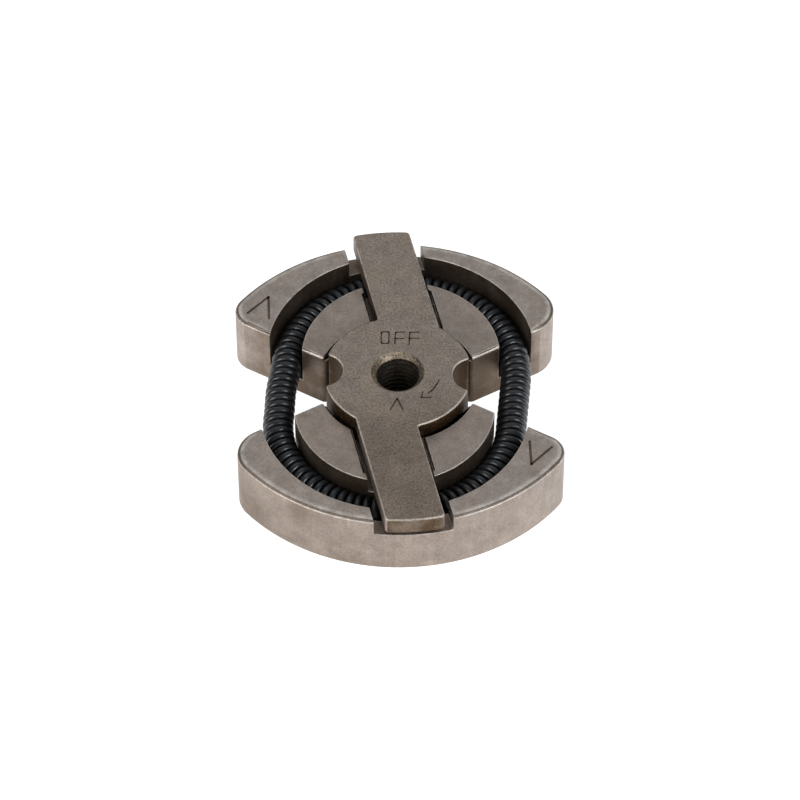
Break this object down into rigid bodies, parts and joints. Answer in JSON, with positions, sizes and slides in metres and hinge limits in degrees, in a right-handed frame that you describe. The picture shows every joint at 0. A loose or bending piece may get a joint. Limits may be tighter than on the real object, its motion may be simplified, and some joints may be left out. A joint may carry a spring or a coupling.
{
  "type": "centrifugal clutch",
  "caption": "Sintered clutch with a threaded hub whose arms drive sliding friction shoes, held in by a closed coil spring, for a small garden engine.",
  "frame": {"origin": "on the bore axis at the underside of the boss, which is flush with the undersides of both shoes", "axes": "+Z along the bore towards the face with the arms on it, +Y towards the rear shoe, +X to the right as seen from the front shoe"},
  "size_m": [0.0536, 0.0628, 0.013],
  "materials": {
    "sintered_hub": "steam-treated sintered steel, matte, warm grey and speckled",
    "sintered_shoe": "steam-treated sintered steel, satin, with bright worn edges",
    "black_spring": "black oxide on spring wire, oiled"
  },
  "bodies": {
    "hub": {"clutch_hub": "sintered_hub", "ring_spring": "black_spring"},
    "shoe_rear": {"rear_shoe": "sintered_shoe"},
    "shoe_front": {"front_shoe": "sintered_shoe"}
  },
  "joints": [
    {"name": "rear_shoe_slide", "type": "slide", "parent": "hub", "child": "shoe_rear", "axis": [-0.2215, 0.9751, 0], "range_m": [0, 0.002], "stiffness_N_per_m": 13800, "deforming": ["ring_spring"]},
    {"name": "front_shoe_slide", "type": "slide", "parent": "hub", "child": "shoe_front", "axis": [0.2215, -0.9751, 0], "range_m": [0, 0.002], "stiffness_N_per_m": 13800, "deforming": ["ring_spring"]}
  ]
}
